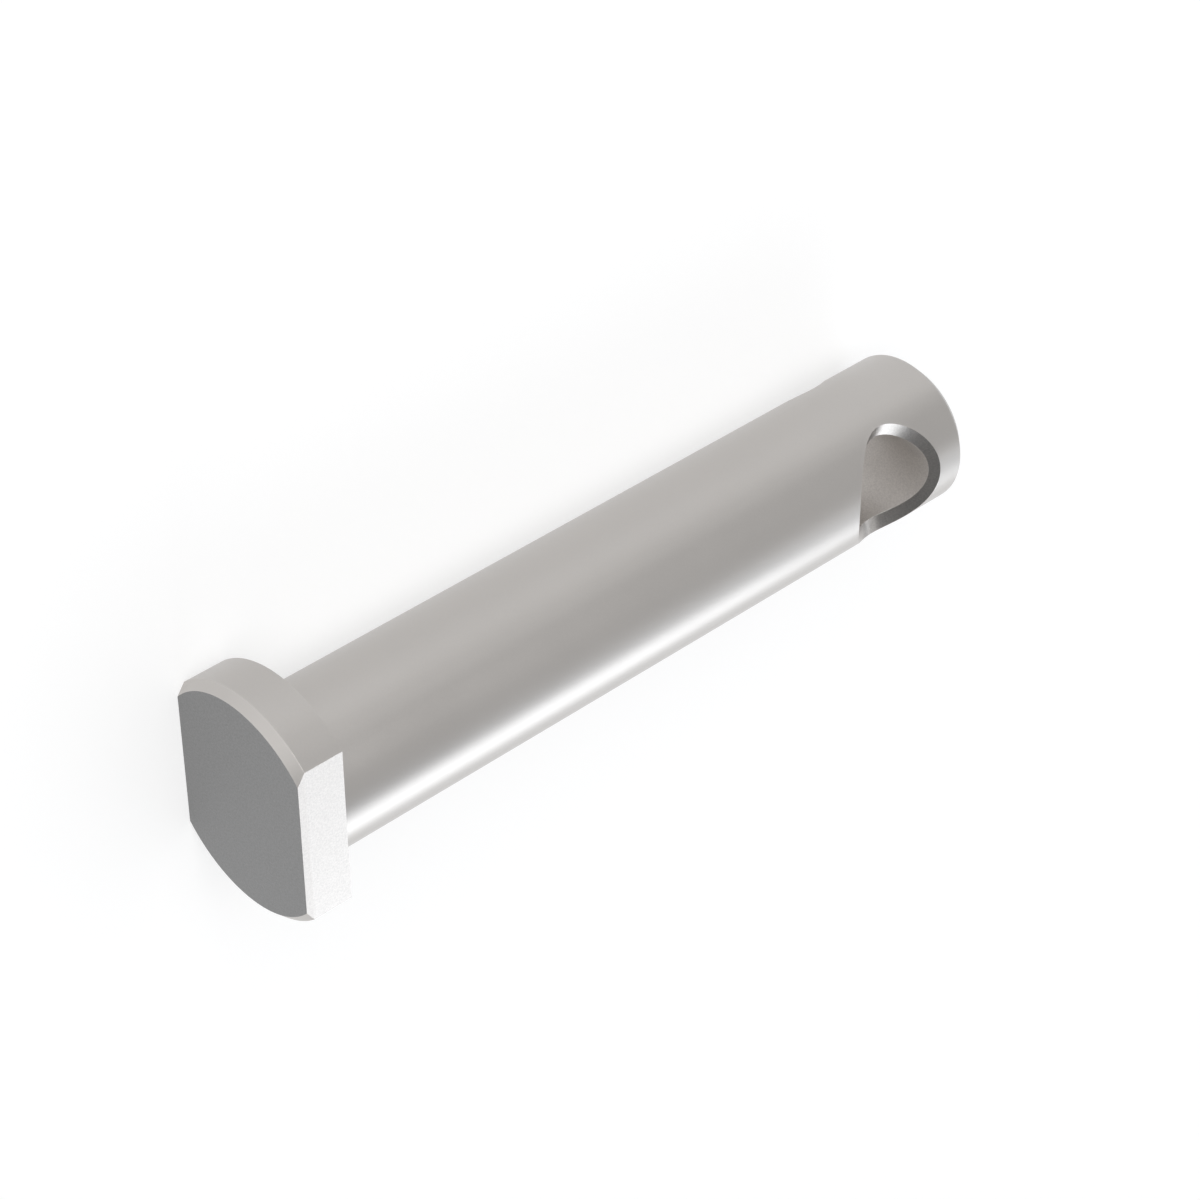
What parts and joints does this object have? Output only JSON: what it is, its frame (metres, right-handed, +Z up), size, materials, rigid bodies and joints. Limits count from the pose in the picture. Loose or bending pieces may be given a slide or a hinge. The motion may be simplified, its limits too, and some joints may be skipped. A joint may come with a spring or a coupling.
{
  "type": "center link pin",
  "caption": "Steel link pin with a round head milled flat on opposite sides, a plain shank with a chamfered tip, and a chamfered cross hole near the tip for a linch pin.",
  "frame": {"origin": "on the pin's axis, at the bearing face under the head", "axes": "+X along the pin from the head to the tip, +Z up along the cross hole and square to the head's two flats; the pin lies on its lower flat"},
  "size_m": [0.1031, 0.0286, 0.02],
  "materials": {
    "steel": "satin, fine even grain"
  },
  "bodies": {
    "root": {"link_pin": "steel"}
  },
  "joints": []
}
